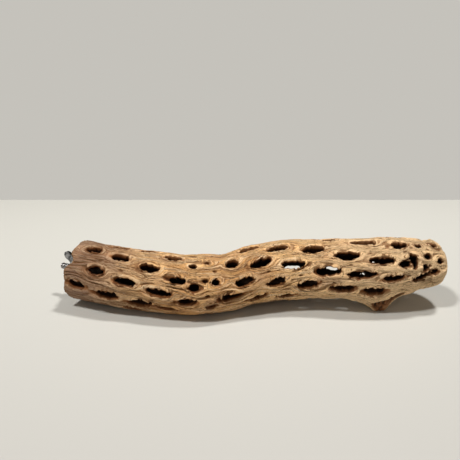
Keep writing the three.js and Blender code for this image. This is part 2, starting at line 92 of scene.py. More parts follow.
# Windows listed one by one: (x, angle, length, width, slant).
seen_windows = [
    (-115, 75, 12, 5.4, 2), (-107, 32, 11, 5.2, 3), (-121, -2, 12, 6.2, -6), (-94, 67, 12, 5.6, -3),
    (-86, 19, 15, 5.4, -2), (-99, -13, 16, 6.0, -5), (-71, 52, 14, 5.4, -4), (-57, 81, 12, 4.2, -6),
    (-77, -25, 17, 6.0, -5), (-63, 6, 16, 5.4, -5), (-52, 32, 12, 4.6, -10), (-43, 61, 6, 3.4, 0),
    (-42, 19, 6.5, 6.0, 0), (-47, -11, 9.5, 5.8, 0), (-59, -33, 13, 4.0, -4), (-99, 103, 12, 4.4, 8),
    (-78, 99, 12, 4.4, 2), (-30, 28, 6, 3.6, 5), (-33, -24, 5, 3.4, 0), (-34, 72, 3.6, 3.2, 0),
    (-17, 64, 9, 6.0, 8), (-2, 90, 14, 4.6, 8), (-22, -8, 12, 5.4, 10), (-12, 20, 12, 5.4, 12),
    (2, 48, 17, 5.6, 6), (18, 76, 16, 4.8, 3), (-4, -22, 14, 4.4, 8), (12, 6, 17, 5.2, 7),
    (28, 36, 19, 5.4, 0), (44, 67, 17, 5.6, 0), (21, -32, 16, 4.0, 4), (39, -7, 15, 6.2, 8),
    (54, 20, 18, 5.6, 0), (67, 49, 18, 5.6, 0), (79, 81, 17, 4.6, -2), (57, 93, 10, 3.4, -3),
    (64, -18, 15, 6.4, 4), (77, 12, 18, 4.8, 0), (90, 38, 17, 4.4, -2), (103, 69, 12, 5.2, 2),
    (85, -26, 14, 6.6, 2), (97, 2, 14, 4.6, 4), (109, 31, 12, 7.6, 4), (102, -47, 8, 4.6, 12),
    (115, -4, 8, 4.6, 14), (121, 41, 5, 3.8, 0), (129, 74, 4.4, 3.8, 0),
    (130, 27, 4.4, 3.8, 0), (125, 3, 4.4, 3.6, 0), (119, 15, 4, 3.4, 0), (117, 66, 4.4, 3.2, 0),
    (-112, 206, 13, 5.2, 3), (-84, 197, 14, 5.4, -2), (-57, 216, 9, 4.6, 0), (-11, 202, 13, 5.2, 5),
    (7, 168, 12, 4.4, 5), (30, 199, 13, 5.0, 2), (60, 203, 11, 5.2, 0), (83, 219, 6, 3.0, 0),
    (93, 192, 5, 3.0, 0), (111, 182, 9, 4.4, 0),
]
# Places of the back, (x, angle), that stay shut because no light shows through the front there.
shut_places = [
    (73, 218), (-111, 176), (-125, 204), (-66, 202), (-45, 212), (-24, 206), (7, 187), (122, 195), (121, 211),
]


def at_station(x):
    padded = np.vstack([2 * stations[0] - stations[1], stations, 2 * stations[-1] - stations[-2]])
    last = len(stations) - 1
    u = np.clip((np.asarray(x, float) - FIRST_STATION_X) / STATION_STEP, 0, last - 1e-6)
    i = np.floor(u).astype(int)
    f = (u - i)[..., None]
    a, b, c, d = padded[i], padded[i + 1], padded[i + 2], padded[i + 3]
    return 0.5 * (2 * b + (c - a) * f + (2 * a - 5 * b + 4 * c - d) * f**2 + (3 * b - 3 * c + d - a) * f**3)


def section(x):
    x = np.asarray(x, float)
    here = at_station(x)
    step = at_station(x + 0.5) - at_station(x - 0.5)
    along = np.stack([np.ones_like(x), step[..., 0], step[..., 1]], -1)
    along /= np.linalg.norm(along, axis=-1, keepdims=True)
    front = np.stack([along[..., 1], -along[..., 0], np.zeros_like(x)], -1)
    front /= np.linalg.norm(front, axis=-1, keepdims=True)
    up = -np.cross(along, front)
    centre = np.stack([x, here[..., 0], here[..., 1]], -1)
    return centre, front, up


def angle_between(a, b):
    return (a - b + 540) % 360 - 180


def body_radius(x):
    blend = np.clip((x - DOME_START_X) / 6, 0, 1)
    return at_station(np.minimum(x, DOME_START_X))[..., 2] * (1 - blend) + DOME_RADIUS * blend


def dome_reach(x):
    return np.clip((x - DOME_START_X) / (LOG_TIP_X - DOME_START_X), 0, 1)


def dome_share(x):
    return np.sqrt(np.maximum(0, 1 - dome_reach(x) ** DOME_POWER))


def tube_radius(x):
    return body_radius(x) * dome_share(x)


def swelling(x, angle):
    total = np.zeros(np.broadcast(x, angle).shape)
    for sx, sa, height, spread_x, spread_angle in swellings:
        dx = (x - sx) / spread_x
        da = angle_between(angle, sa) / spread_angle
        total += height * np.exp(-0.5 * (dx * dx + da * da))
    a = np.radians(angle)
    wave = np.sin(x * 0.11 + 2 * a) + 0.7 * np.sin(x * 0.19 - 3 * a + 1.3)
    return (total + 0.28 * wave) * np.clip((LOG_TIP_X - x) / 12, 0, 1)


def uneven(n):
    v = math.sin(n * 12.9898 + 78.233) * 43758.5453
    return 2 * (v - math.floor(v)) - 1


def too_close(a, b):
    r = float(tube_radius(np.array((a[0] + b[0]) / 2)))
    dx = abs(a[0] - b[0])
    dy = abs(math.radians(angle_between(a[1], b[1])) * r)
    return (dx / ((a[2] + b[2]) / 2 + 3.2)) ** 2 + (dy / ((a[3] + b[3]) / 2 + 3.2)) ** 2 < 1


def all_windows():
    found = list(seen_windows)
    n = 0
    for row in range(6):
        x0 = -120.0 + (12.5 if row % 2 else 0)
        while x0 < 128:
            n += 1
            x = x0 + 2.2 * uneven(n)
            x0 += 25
            if row == 2:
                continue
            angle = 122 + 36 * row - 0.12 * x + 3.5 * uneven(n + 400)
            length = 14.5 + 2 * uneven(n + 800)
            width = 5.4 + 0.6 * uneven(n + 1200)
            if abs(x + 34) < 12:
                length, width = length * 0.5, width * 0.75
            if x > 112:
                length, width = length * 0.6, width * 0.8
            slant = 4 * uneven(n + 1600)
            window = (x, angle, length, width, slant)
            if any(too_close(w, window) for w in found):
                window = (x, angle, length * 0.55, width * 0.75, slant)
            under_foot = any(too_close((s[0], s[1], 13, 13), window) for s in swellings[:2])
            shut = any(too_close((s[0], s[1], 7, 4), window) for s in shut_places)
            if not under_foot and not shut and not any(too_close(w, window) for w in found):
                found.append(window)
    return found


windows = all_windows()
# The large hole near the tip is two holes that have joined.
shapes = [w for w in windows if w[:2] != (109, 31)] + [(104.7, 28.5, 8.4, 4.8, 0), (111.2, 32.4, 5.8, 9.8, 0)]
# The four holes of the back that let light through have narrowed with torn fibre: (x, angle): (length, width).
narrowed = {(30, 199): (2.0, 0.9), (60, 203): (1.6, 1.7), (83, 219): (1.6, 1.4), (93, 192): (1.6, 1.2)}
for n, (x, angle, length, width, slant) in enumerate(shapes):
    shorter, slimmer = narrowed.get((x, angle), (0, 0))
    shapes[n] = (x, angle, length - shorter, width - slimmer, slant)
# Blind pocks between the windows: (x, angle, length, width, depth).
pocks = [
    (-36, 32, 3.6, 3.0, 3.4), (-35, 2, 2.6, 2.2, 2.6), (-44.7, 18, 2.4, 2.2, 2.4), (119, 21, 2.8, 2.4, 2.4),
    (111, 61, 2.4, 2.0, 1.8), (-106, 52, 2.2, 1.4, 1.2), (-30, 50, 2.4, 2.0, 1.6), (6, 28, 3.0, 1.3, 1.4),
    (34, 14, 3.2, 1.3, 1.6), (58, -4, 3.0, 1.4, 1.6), (70, 30, 2.6, 1.3, 1.2), (123, 58, 2.2, 2.0, 1.6),
    (106, 52, 3.0, 1.2, 1.2), (118, -14, 2.6, 1.8, 1.6), (-68, -12, 2.6, 1.2, 1.4), (-90, 40, 3.0, 1.2, 1.3),
]


# Repeatable smooth noise, about -1 to 1.
def lattice(i, j, k, seed):
    h = (i * 73856093) ^ (j * 19349663) ^ (k * 83492791) ^ (seed * 2654435)
    h = (h ^ (h >> 13)) * 1274126177 & 0x7FFFFFFF
    h = (h ^ (h >> 16)) & 0xFFFFFF
    return h.astype(np.float32) * (2.0 / 0xFFFFFF) - 1.0


def noise3(p, seed):
    base = np.floor(p).astype(np.int64)
    t = (p - base).astype(np.float32)
    t = t * t * t * (t * (t * 6 - 15) + 10)
    total = 0.0
    for dx in (0, 1):
        wx = t[..., 0] if dx else 1 - t[..., 0]
        for dy in (0, 1):
            wy = t[..., 1] if dy else 1 - t[..., 1]
            for dz in (0, 1):
                wz = t[..., 2] if dz else 1 - t[..., 2]
                value = lattice(base[..., 0] + dx, base[..., 1] + dy, base[..., 2] + dz, seed)
                total = total + wx * wy * wz * value
    return total


def smooth_step(low, high, v):
    t = np.clip((v - low) / (high - low), 0, 1)
    return t * t * (3 - 2 * t)


def smooth_min(a, b, k):
    h = np.maximum(k - np.abs(a - b), 0) / k
    return np.minimum(a, b) - h * h * k * 0.25


# Maps over the surface: one row for each step along the log, one column for each half degree.
CELL = 0.54
COLUMNS = 720
X_LOW, X_HIGH = -143.0, 141.0
xs = np.arange(X_LOW, X_HIGH, CELL)
columns = np.arange(COLUMNS) * (360 / COLUMNS)
X, A = np.meshgrid(xs, columns, indexing="ij")
around = np.radians(A)
MEAN_RADIUS = 21.6
surface = np.stack([X, MEAN_RADIUS * np.cos(around), MEAN_RADIUS * np.sin(around)], -1)
share = np.full(X.shape, 9.0)
edge = np.full(X.shape, 9.0)
ends = np.zeros(X.shape)
swirl = np.zeros(X.shape)
for n, (wx, wa, length, width, slant) in enumerate(shapes):
    a, b = length / 2, width / 2
    rows = np.flatnonzero(np.abs(xs - wx) < 3.6 * a + 9)
    r = float(tube_radius(np.array(float(wx))))
    turn = np.radians(angle_between(columns, wa)) * r
    cols = np.flatnonzero(np.abs(turn) < 5 * b + 9)
    patch = np.ix_(rows, cols)
    dx = (xs[rows] - wx)[:, None]
    dy = turn[cols][None, :]
    c, s = math.cos(math.radians(slant)), math.sin(math.radians(slant))
    along = dx * c + dy * s
    across = dy * c - dx * s
    skew = 0.20 * uneven(n + 50) * np.clip(along / a, -1.2, 1.2)
    lens = b * (1.12 - 0.20 * np.clip(along / a, -1, 1) ** 2 + skew)
    blunt = 2.45
    u, v = np.abs(along / a), np.abs(across / lens)
    e = np.maximum((u**blunt + v**blunt) ** (1 / blunt), 1e-3)
    slope = np.hypot(u ** (blunt - 1) / a, v ** (blunt - 1) / lens) / e ** (blunt - 1)
    distance = (e - 1) / np.maximum(slope, 0.08)
    share[patch] = np.minimum(share[patch], e)
    edge[patch] = np.minimum(edge[patch], distance)
    # Each end runs out in a torn hollow, deepest low on the front; the left and right ones differ.
    wear = 1.0 if wa < 5 else 0.65 if wx < -30 else 0.28
    for side, wanted in ((-1, 0.75 + 0.45 * uneven(n + 90)), (1, 0.75 + 0.45 * uneven(n + 130))):
        beyond = side * along - a
        tear = np.exp(-((beyond - 0.6) / (1.0 + 0.11 * length)) ** 2 - (across / (0.62 * b)) ** 2)
        ends[patch] = np.maximum(ends[patch], wear * np.clip(wanted, 0.15, 1.2) * tear)
    # Fibres part round a wider oval and close again behind it.
    wide = np.maximum(np.hypot(along / (a + 3.2), across / (b + 2.6)), 1e-3)
    swirl[patch] -= across * np.where(wide > 1, np.exp(-0.6 * (wide - 1)) / np.maximum(wide, 1) ** 1.8, 1)
    swirl[patch] += 5.2 * np.clip(1 - wide, 0, 1)

pock = np.zeros(X.shape)
for px, pa, length, width, depth in pocks:
    r = float(tube_radius(np.array(float(px))))
    off = np.hypot((X - px) / (length / 2), np.radians(angle_between(A, pa)) * r / (width / 2))
    pock = np.maximum(pock, depth * smooth_step(1.25, 0.7, off))

theta = around + (swirl + 1.3 * noise3(surface * (0.045, 0.10, 0.10) + 3.1, 41)) / MEAN_RADIUS + 0.0022 * X
flow = np.stack([X, MEAN_RADIUS * np.cos(theta), MEAN_RADIUS * np.sin(theta)], -1)

near = np.exp(-((np.maximum(share - 1, 0) / 0.55) ** 2))
strands = 1 - np.abs(noise3(flow * (0.030, 0.42, 0.42), 3))
cords = 1 - np.abs(noise3(flow * (0.05, 0.85, 0.85) + 9.3, 7))
hairs = noise3(flow * (0.09, 1.5, 1.5) + 4.1, 11)
lumps = noise3(surface * 0.09, 17) + 0.8 * noise3(surface * (0.16, 0.26, 0.26) + 8.8, 19)
crack = smooth_step(0.86, 1.0, 1 - np.abs(noise3(flow * (0.03, 0.5, 0.5) + 21.7, 23)))
crack *= smooth_step(-0.2, 0.3, noise3(surface * 0.12 + 5.5, 29))
pit_place = noise3(flow * (0.24, 0.8, 0.8) + 2.2, 31)
pits = smooth_step(0.36, 0.56, pit_place) * np.clip(0.12 + 0.75 * near + 0.9 * ends, 0, 1)
ragged = 0.7 * noise3(flow * (0.22, 1.0, 1.0) + 7.7, 37) + 1.5 * noise3(flow * (0.62, 1.5, 1.5) + 6.1, 38)
ringed = np.exp(-((np.maximum(share - 1, 0) / 1.0) ** 2))
splits = smooth_step(0.80, 1.0, 1 - np.abs(noise3(flow * (0.055, 0.95, 0.95) + 31.7, 53))) * ringed
splits *= smooth_step(-0.25, 0.35, noise3(surface * 0.14 + 15.5, 59))
torn = noise3(flow * (0.12, 1.5, 1.5) + 1.7, 43)

grooves = (0.58 * strands**3 + 0.52 * cords**4 + 0.30 * hairs) * (1 - 0.28 * smooth_step(-30, 20, X))
hollow = 0.12 * near + 1.3 * crack + 1.3 * splits + 1.7 * pits + ends * (1.7 + 1.3 * torn) + pock
stub_x, stub_angle = swellings[0][:2]
stub_off = np.hypot((X - stub_x - 0.5) / 9.0, angle_between(A, stub_angle + 15) / 14)
stub_face = smooth_step(1.0, 0.75, stub_off)
hollow += stub_face * (2.3 + 1.8 * noise3(surface * (0.9, 0.45, 0.45) + 6.6, 47))
# The closed end is knobbly.
dents = smooth_step(0.0, 0.45, noise3(surface * 0.17 + 12.3, 61)) * smooth_step(104, 122, X)
relief = grooves + hollow + 1.5 * dents - 0.30 * lumps
body = body_radius(X)
outer = body + swelling(X, A) + SKIN_LIFT - np.maximum(relief, 0.0)
plain_wall = WALL + (WALL_AT_CUT_END - WALL) * np.clip((-112 - X) / 8, 0, 1)
inner = body - np.minimum(plain_wall, 0.42 * body + 0.6) + 0.35 * lumps
edge = edge + 0.72 * ragged + 0.15 * hairs + 1.5 * ends * (torn + 0.25)


def rim_wear(angle):
    notch = 5.0 * np.exp(-0.5 * (angle_between(angle, 43) / 8) ** 2)
    top = 1.6 * np.exp(-0.5 * (angle_between(angle, 62) / 26) ** 2)
    ripple = 0.5 * np.sin(np.radians(5 * angle) + 0.8) + 0.4 * np.sin(np.radians(9 * angle) + 2)
    return notch + top + ripple + 0.25


yaw = math.radians(CUT_YAW)
outward = np.array([-math.cos(yaw), math.sin(yaw), 0.02])
outward /= np.linalg.norm(outward)
cut_centre = section(np.array(CUT_X))[0]
plug_face = cut_centre - PLUG_INSET * outward


def from_map(values, rows, angle):
    """A map's value at given rows and angles, between its columns."""
    u = (angle % 360) * (COLUMNS / 360)
    low = np.floor(u).astype(int) % COLUMNS
    t = (u - np.floor(u)).astype(np.float32)
    high = (low + 1) % COLUMNS
    return values[rows, low] * (1 - t) + values[rows, high] * t


def wood_field():
    """Positive inside the wood, over a straightened grid: along the log, towards the front, upwards."""
    fs = np.arange(-25.0, 25.1, CELL)
    ws = np.arange(-34.0, 25.1, CELL)
    f, w = np.meshgrid(fs, ws, indexing="ij")
    r = np.hypot(f, w)
    angle = np.degrees(np.arctan2(w, f)) % 360
    field = np.empty((len(xs), len(fs), len(ws)), np.float32)
    reach = dome_reach(xs) ** DOME_POWER
    inner_reach = np.clip((xs - 117) / 17.5, 0, 1) ** 2.4
    rows = np.arange(len(xs))[:, None, None]
    for start in range(0, len(xs), 64):
        part = slice(start, start + 64)
        row = rows[part]
        big = from_map(outer, row, angle[None])
        small = from_map(inner, row, angle[None])
        rim = from_map(edge, row, angle[None])
        skin = big * (1 - np.sqrt(reach[part][:, None, None] + (r / big) ** 2))
        core = small * (np.sqrt(inner_reach[part][:, None, None] + (r / small) ** 2) - 1)
        solid = smooth_min(skin, core, 0.9)
        field[part] = smooth_min(solid, rim + 0.05 * (r - 19), 0.35)
    centre, front, up = section(xs)
    for i in range(len(xs)):
        point = centre[i] + f[..., None] * front[i] + w[..., None] * up[i]
        field[i] = np.minimum(field[i], point[..., 2] - 0.02)
        if xs[i] < CUT_X + 26:
            beyond = (point - cut_centre) @ outward
            saw_marks = 0.25 * np.abs(grooves[i, (angle * 2).astype(int) % COLUMNS])
            field[i] = smooth_min(field[i], -beyond - rim_wear(angle) - saw_marks, 0.8)
            level = (point - plug_face) @ outward
            off = np.linalg.norm(point - plug_face - level[..., None] * outward, axis=-1)
            bore = np.maximum(off - BORE_RADIUS, -level - PLUG_LENGTH - GAP)
            field[i] = np.minimum(field[i], bore)
    field[0] = field[-1] = -1
    return field, np.array([xs[0], fs[0], ws[0]])


def surface_nets(field):
    """Vertices, in cells, and quads of the surface where field changes sign."""
    inside = field > 0
    shape = np.array(field.shape) - 1
    count = np.zeros(shape, np.int8)
    for dx in (0, 1):
        for dy in (0, 1):
            for dz in (0, 1):
                count += inside[dx:dx + shape[0], dy:dy + shape[1], dz:dz + shape[2]]
    cells = np.argwhere((count > 0) & (count < 8))
    number = np.full(shape, -1, np.int32)
    number[tuple(cells.T)] = np.arange(len(cells))
    total = np.zeros((len(cells), 3))
    crossings = np.zeros(len(cells))
    for axis in range(3):
        others = [k for k in range(3) if k != axis]
        for da in (0, 1):
            for db in (0, 1):
                corner = cells.copy()
                corner[:, others[0]] += da
                corner[:, others[1]] += db
                ahead = corner.copy()
                ahead[:, axis] += 1
                f0, f1 = field[tuple(corner.T)], field[tuple(ahead.T)]
                cross = (f0 > 0) != (f1 > 0)
                t = f0[cross] / (f0[cross] - f1[cross])
                total[cross] += corner[cross]
                total[cross, axis] += t
                crossings[cross] += 1
    points = total / crossings[:, None]
    quads = []
    for axis in range(3):
        b, c = (axis + 1) % 3, (axis + 2) % 3
        low, high = [slice(None)] * 3, [slice(None)] * 3
        low[axis], high[axis] = slice(None, -1), slice(1, None)
        change = inside[tuple(low)] != inside[tuple(high)]
        at = np.argwhere(change)
        at = at[(at[:, b] > 0) & (at[:, c] > 0) & (at[:, b] < shape[b]) & (at[:, c] < shape[c])]
        ring = []
        for db, dc in ((-1, -1), (0, -1), (0, 0), (-1, 0)):
            cell = at.copy()
            cell[:, b] += db
            cell[:, c] += dc
            ring.append(number[tuple(cell.T)])
        quad = np.stack(ring, 1)
        starts_inside = inside[tuple(at.T)]
        quad[~starts_inside] = quad[~starts_inside][:, ::-1]
        quads.append(quad)
    return points, np.vstack(quads)


def mesh_object(name, vertices, faces):
    sides = faces.shape[1]
    mesh = bpy.data.meshes.new(name)
    mesh.vertices.add(len(vertices))
    mesh.vertices.foreach_set("co", np.ascontiguousarray(vertices, np.float32).ravel())
    mesh.loops.add(faces.size)
    mesh.loops.foreach_set("vertex_index", faces.astype(np.int32).ravel())
    mesh.polygons.add(len(faces))
    mesh.polygons.foreach_set("loop_start", np.arange(0, faces.size, sides, dtype=np.int32))
    mesh.polygons.foreach_set("use_smooth", np.ones(len(faces), bool))
    mesh.update(calc_edges=True)
    obj = bpy.data.objects.new(name, mesh)
    bpy.context.scene.collection.objects.link(obj)
    return obj


def thin_out(obj, triangles):
    have = sum(len(p.vertices) - 2 for p in obj.data.polygons)
    if have <= triangles:
        return
    modifier = obj.modifiers.new("fewer", "DECIMATE")
    modifier.ratio = triangles / have
    bpy.context.view_layer.objects.active = obj
    bpy.ops.object.modifier_apply(modifier=modifier.name)


def drop_crumbs(obj):
    """Keep the largest connected part of a mesh."""
    mesh = bmesh.new()
    mesh.from_mesh(obj.data)
    left = set(mesh.verts)
    parts = []
    while left:
        part = [left.pop()]
        for vertex in part:
            for edge in vertex.link_edges:
                other = edge.other_vert(vertex)
                if other in left:
                    left.remove(other)
                    part.append(other)
        parts.append(part)
    largest = max(parts, key=len)
    crumbs = [vertex for part in parts if part is not largest for vertex in part]
    bmesh.ops.delete(mesh, geom=crumbs, context="VERTS")
    mesh.to_mesh(obj.data)
    mesh.free()


def coordinates(mesh):
    out = np.empty(len(mesh.vertices) * 3, np.float32)
    mesh.vertices.foreach_get("co", out)
    return out.reshape(-1, 3).astype(float)


def add_attribute(mesh, name, values):
    kind = "FLOAT_VECTOR" if values.ndim == 2 else "FLOAT"
    attribute = mesh.attributes.new(name, kind, "POINT")
    attribute.data.foreach_set("vector" if values.ndim == 2 else "value", values.astype(np.float32).ravel())


def build_skeleton():
    field, origin = wood_field()
    points, quads = surface_nets(field)
    obj = mesh_object("skeleton_wood", points * CELL + origin, quads)
    thin_out(obj, MOST_TRIANGLES)
    drop_crumbs(obj)
    p = coordinates(obj.data)
    r = np.hypot(p[:, 1], p[:, 2])
    angle = np.degrees(np.arctan2(p[:, 2], p[:, 1])) % 360
    row = np.clip(np.round((p[:, 0] - xs[0]) / CELL).astype(int), 0, len(xs) - 1)
    turn = from_map(np.cos(theta), row, angle), from_map(np.sin(theta), row, angle)
    add_attribute(obj.data, "flow", np.stack([p[:, 0], MEAN_RADIUS * turn[0], MEAN_RADIUS * turn[1]], 1))
    clean = from_map(body + swelling(X, A), row, angle) * dome_share(p[:, 0])
    add_attribute(obj.data, "depth", clean + SKIN_LIFT - r)
    add_attribute(obj.data, "rim", from_map(share, row, angle))
    add_attribute(obj.data, "brink", from_map(edge, row, angle))
    # Painted shade: grooves, cracks, splits, pits and pocks are darkened in colour through this mask.
    hollow_shade = np.maximum(grooves, 0) + crack + 1.1 * splits + 1.2 * pits + 0.9 * pock
    add_attribute(obj.data, "groove", from_map(hollow_shade, row, angle))
    add_attribute(obj.data, "torn", from_map(np.maximum(ends, stub_face), row, angle))
    centre, front, up = section(p[:, 0])
    world = centre + p[:, 1:2] * front + p[:, 2:3] * up
    from_cut = (cut_centre - world) @ outward - rim_wear(angle)
    add_attribute(obj.data, "sawn", smooth_step(1.6, 0.5, from_cut))
    world += ORIGIN_SHIFT
    low, high = np.array(bounds_at_load) / MM
    world = np.clip(world, low + np.array([MARGIN, MARGIN, 0.0]), high - MARGIN)
    obj.data.vertices.foreach_set("co", (world * MM).astype(np.float32).ravel())
    obj.data.update()
    return obj


# Node trees.
class Tree:
    def __init__(self, name):
        self.material = bpy.data.materials.new(name)
        self.material.use_nodes = True
        self.nodes = self.material.node_tree.nodes
        self.links = self.material.node_tree.links
        self.shader = next(n for n in self.nodes if n.type == "BSDF_PRINCIPLED")

    def put(self, socket, value):
        if isinstance(value, bpy.types.NodeSocket):
            self.links.new(value, socket)
        else:
            socket.default_value = value

    def attribute(self, name, output="Fac"):
        node = self.nodes.new("ShaderNodeAttribute")
        node.attribute_name = name
        return node.outputs[output]

    def math(self, operation, a, b=0.0):
        node = self.nodes.new("ShaderNodeMath")
        node.operation = operation
        self.put(node.inputs[0], a)
        self.put(node.inputs[1], b)
        return node.outputs[0]

    def vector(self, operation, a, b=(0, 0, 0), output=0):
        node = self.nodes.new("ShaderNodeVectorMath")
        node.operation = operation
        self.put(node.inputs[0], a)
        self.put(node.inputs[1], b)
        return node.outputs[output]

    def noise(self, vector, scale=1.0, detail=3.0, roughness=0.55):
        node = self.nodes.new("ShaderNodeTexNoise")
        self.put(node.inputs["Vector"], vector)
        node.inputs["Scale"].default_value = scale
        node.inputs["Detail"].default_value = detail
        node.inputs["Roughness"].default_value = roughness
        return node.outputs["Fac"]

    def ramp(self, value, low, high, start=0.0, end=1.0):
        node = self.nodes.new("ShaderNodeMapRange")
        node.interpolation_type = "SMOOTHSTEP"
        for socket, v in zip(node.inputs, (value, low, high, start, end)):
            self.put(socket, v)
        return node.outputs[0]

    def mix(self, share, a, b):
        node = self.nodes.new("ShaderNodeMix")
        node.data_type = "RGBA"
        self.put(node.inputs[0], share)
        self.put(node.inputs[6], a if isinstance(a, bpy.types.NodeSocket) else (*a, 1))
        self.put(node.inputs[7], b if isinstance(b, bpy.types.NodeSocket) else (*b, 1))
        return node.outputs[2]

    def stain(self, colour, tint, mask, strength):
        return self.mix(self.math("MULTIPLY", mask, strength), colour, tint)

    def bump(self, height, distance, strength, normal=None):
        node = self.nodes.new("ShaderNodeBump")
        node.inputs["Distance"].default_value = distance
        node.inputs["Strength"].default_value = strength
        self.put(node.inputs["Height"], height)
        if normal is not None:
            self.put(node.inputs["Normal"], normal)
        return node.outputs[0]

    def place(self):
        return self.nodes.new("ShaderNodeTexCoord").outputs["Object"]


def wood_material():
    t = Tree("dry cactus wood")
    flow = t.attribute("flow", "Vector")
    rim = t.attribute("rim")
    torn = t.attribute("torn")
    sawn = t.attribute("sawn")
    depth = t.math("MULTIPLY", t.attribute("depth"), t.ramp(sawn, 0.0, 1.0, 1.0, 0.18))
    along = t.nodes.new("ShaderNodeSeparateXYZ")
    t.put(along.inputs[0], flow)
    x = along.outputs[0]
    place = t.place()

    broad = t.noise(place, 24.0, 3.0, 0.6)
    patch = t.noise(place, 70.0, 3.0, 0.6)
    blotch = t.noise(t.vector("ADD", place, (0.31, 0.17, 0.05)), 45.0, 2.0, 0.6)
    streak = t.noise(t.vector("MULTIPLY", flow, (0.045, 0.8, 0.8)), 1.0, 3.0, 0.6)
    fibre = t.noise(t.vector("MULTIPLY", flow, (0.17, 2.9, 2.9)), 1.0, 4.0, 0.7)
    line = t.noise(t.vector("MULTIPLY", flow, (0.065, 1.35, 1.35)), 1.0, 3.0, 0.6)
    speck = t.noise(t.vector("MULTIPLY", flow, (0.55, 1.6, 1.6)), 1.0, 2.0, 0.5)

    # Bare wood: ochre, paler to the right, with streaks, brown patches, dark fibres and specks.
    ochre = t.mix(t.ramp(broad, 0.38, 0.62), (0.66, 0.345, 0.128), (0.92, 0.566, 0.250))
    ochre = t.stain(ochre, (1.0, 0.73, 0.425), t.ramp(x, 5.0, 95.0), 0.72)
    colour = t.mix(t.ramp(streak, 0.44, 0.66), ochre, (0.90, 0.650, 0.390))
    colour = t.stain(colour, (0.56, 0.275, 0.120), t.ramp(patch, 0.52, 0.72), t.ramp(x, 20.0, 90.0, 0.45, 0.22))
    colour = t.stain(colour, (0.50, 0.320, 0.215), t.ramp(blotch, 0.56, 0.70), 0.38)
    lined = t.ramp(x, 25.0, 105.0, 0.74, 0.40)
    colour = t.stain(colour, (0.29, 0.125, 0.042), t.ramp(fibre, 0.52, 0.34), lined)
    colour = t.stain(colour, (0.13, 0.052, 0.018), t.ramp(line, 0.41, 0.31), lined)
    colour = t.stain(colour, (0.20, 0.085, 0.026), t.ramp(speck, 0.58, 0.66), 0.85)
    # The cut end has weathered to a grey brown.
    grey = t.math("MULTIPLY", t.ramp(x, -52.0, -122.0), t.ramp(broad, 0.30, 0.55, 0.50, 1.0))
    grey = t.math("MULTIPLY", grey, t.ramp(streak, 0.70, 0.50, 0.55, 1.0))
    colour = t.stain(colour, (0.225, 0.130, 0.092), grey, 0.84)
    # Pale lips round the windows and darker torn ends; painted shade in the grooves, on the windows' inner walls and
    # deepening to near black with depth under the skin.
    lip = t.math("MULTIPLY", t.ramp(rim, 1.0, 1.2), t.ramp(rim, 1.7, 1.3))
    colour = t.stain(colour, (0.82, 0.58, 0.34), lip, 0.18)
    # Painted shade in the grooves, cracks, splits, pits and pocks.
    colour = t.stain(colour, (0.20, 0.085, 0.028), t.ramp(t.attribute("groove"), 0.40, 1.0), 0.72)
    colour = t.stain(colour, (0.25, 0.088, 0.022), t.ramp(torn, 0.08, 0.50), 0.80)
    # Painted shade on the inner walls of the windows.
    inner_wall_shade = t.math("MULTIPLY", t.ramp(t.attribute("brink"), 0.75, 0.30), t.ramp(depth, 0.10, 0.55))
    colour = t.stain(colour, (0.150, 0.050, 0.013), inner_wall_shade, 0.88)
    # Painted shade inside the tube: browner just below the skin, near black deeper in.
    colour = t.stain(colour, (0.165, 0.054, 0.013), t.ramp(depth, 1.5, 2.7), 0.74)
    colour = t.stain(colour, (0.018, 0.006, 0.002), t.ramp(depth, 2.3, 4.2), 0.97)
    # End grain on the sawn rim.
    pores = t.noise(place, 1100.0, 2.0, 0.6)
    end_grain = t.mix(t.ramp(pores, 0.40, 0.62), (0.33, 0.185, 0.090), (0.115, 0.052, 0.022))
    colour = t.stain(colour, end_grain, sawn, 0.8)

    t.put(t.shader.inputs["Base Color"], colour)
    t.put(t.shader.inputs["Roughness"], t.ramp(fibre, 0.3, 0.7, 0.62, 0.84))
    t.shader.inputs["Specular IOR Level"].default_value = 0.20
    fine = t.bump(fibre, 0.0009, 0.9)
    t.put(t.shader.inputs["Normal"], t.bump(line, 0.0014, 0.8, fine))
    return t.material


def plug_material():
    t = Tree("plug end grain")
    place = t.place()
    centre = (plug_face + ORIGIN_SHIFT) * MM
    pith = centre + np.array([0.0, 0.006, 0.011])
    offset = t.vector("SUBTRACT", place, tuple(pith))
    radius = t.vector("LENGTH", t.vector("CROSS_PRODUCT", offset, tuple(outward)), output=1)
    wobble = t.noise(place, 120.0, 3.0)
    rings = t.math("SINE", t.math("ADD", t.math("MULTIPLY", radius, 3300.0), t.math("MULTIPLY", wobble, 5.0)))
    grain = t.noise(place, 900.0, 3.0, 0.6)
    colour = t.mix(t.ramp(rings, -0.6, 0.9), (0.60, 0.40, 0.21), (0.43, 0.25, 0.11))
    colour = t.stain(colour, (0.33, 0.19, 0.09), t.ramp(grain, 0.42, 0.66), 0.5)
    # Painted shade: the plug turns near black below its face, where it sits inside the bore.
    level = t.vector("DOT_PRODUCT", t.vector("SUBTRACT", place, tuple(centre)), tuple(outward), output=1)
    colour = t.mix(t.ramp(level, -0.0005, -0.003), colour, (0.050, 0.028, 0.014))
    t.put(t.shader.inputs["Base Color"], colour)
    t.put(t.shader.inputs["Roughness"], t.ramp(grain, 0.3, 0.7, 0.7, 0.88))
    t.put(t.shader.inputs["Normal"], t.bump(t.math("ADD", grain, t.math("MULTIPLY", rings, 0.3)), 0.0003, 0.6))
    return t.material


